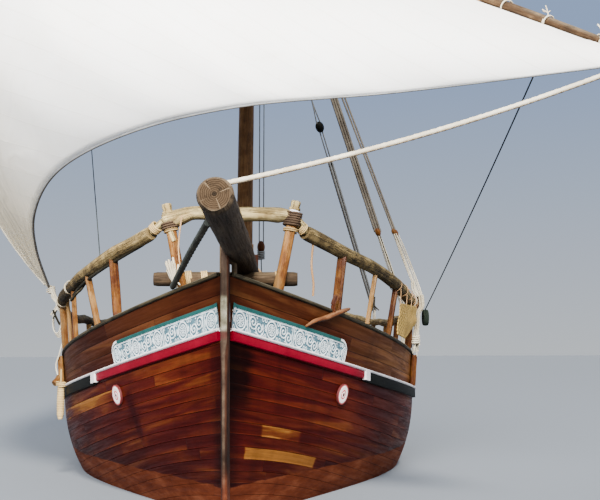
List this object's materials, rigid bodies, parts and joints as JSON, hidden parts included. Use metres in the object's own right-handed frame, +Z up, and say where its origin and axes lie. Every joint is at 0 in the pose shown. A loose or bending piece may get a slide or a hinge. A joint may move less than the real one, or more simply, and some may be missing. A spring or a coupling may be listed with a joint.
{
  "type": "lateen sailing dhow",
  "caption": "Wooden cargo dhow with a raised bow, pole rails, raked mast, long slung yard and a full lateen sail; the rudder swings and the yard turns round the mast.",
  "frame": {"origin": "on the waterline in the middle plane, nearly amidships, under the hull's half length", "axes": "+X to port, +Y aft (the bow points along -Y), +Z up"},
  "size_m": [9.7366, 21.0043, 17.1292],
  "materials": {
    "hull_planks": "oiled",
    "red_paint": "worn gloss",
    "dark_wood": "tarred",
    "varnished_wood": "varnished",
    "weathered_wood": "weathered",
    "grey_log": "weathered",
    "deck_planks": "bare",
    "blue_carving": "painted",
    "white_paint": "painted",
    "sailcloth": "soft",
    "rope": "twisted",
    "mat_fibre": "woven",
    "old_rubber": "matt"
  },
  "bodies": {
    "boat": {"bowsprit": "grey_log", "bulwark_port": "hull_planks", "bulwark_starboard": "hull_planks", "cap_port": "weathered_wood", "cap_starboard": "weathered_wood", "deck": "deck_planks", "eye_port": "white_paint", "eye_starboard": "white_paint", "fender_port": "old_rubber", "fender_starboard": "rope", "frieze_port": "blue_carving", "frieze_starboard": "blue_carving", "gallows": "weathered_wood", "hatch_coaming": "varnished_wood", "hatch_cover": "deck_planks", "head_log": "grey_log", "heel_post": "varnished_wood", "hull": "hull_planks", "keel": "hull_planks", "mast": "hull_planks", "mast_beam": "varnished_wood", "mat_port": "mat_fibre", "pole_rail_port": "weathered_wood", "pole_rail_starboard": "weathered_wood", "shroud_main_port": "rope", "shrouds_fore_port": "rope", "side_timber_port": "varnished_wood", "side_timber_starboard": "varnished_wood", "stay_aft_port": "rope", "stem_post": "varnished_wood", "stern_bench": "deck_planks", "sternpost": "varnished_wood", "taffrail": "weathered_wood", "transom": "hull_planks", "wale_aft_port": "dark_wood", "wale_aft_starboard": "dark_wood", "wale_fore_port": "red_paint", "wale_fore_starboard": "red_paint"},
    "rig": {"yard": "weathered_wood", "sail": "sailcloth", "parrel": "rope"},
    "steering": {"rudder": "hull_planks", "tiller": "varnished_wood"}
  },
  "joints": [
    {"name": "yard_swing", "type": "hinge", "parent": "boat", "child": "rig", "pos_m": [0.1349, -2.6322, 9.42], "axis": [0.017, -0.1285, 0.9916], "range_deg": [-24, 12]},
    {"name": "rudder_swing", "type": "hinge", "parent": "boat", "child": "steering", "pos_m": [0, 8.4584, 0.5], "axis": [0, 0.2607, 0.9654], "range_deg": [-35, 35]}
  ]
}
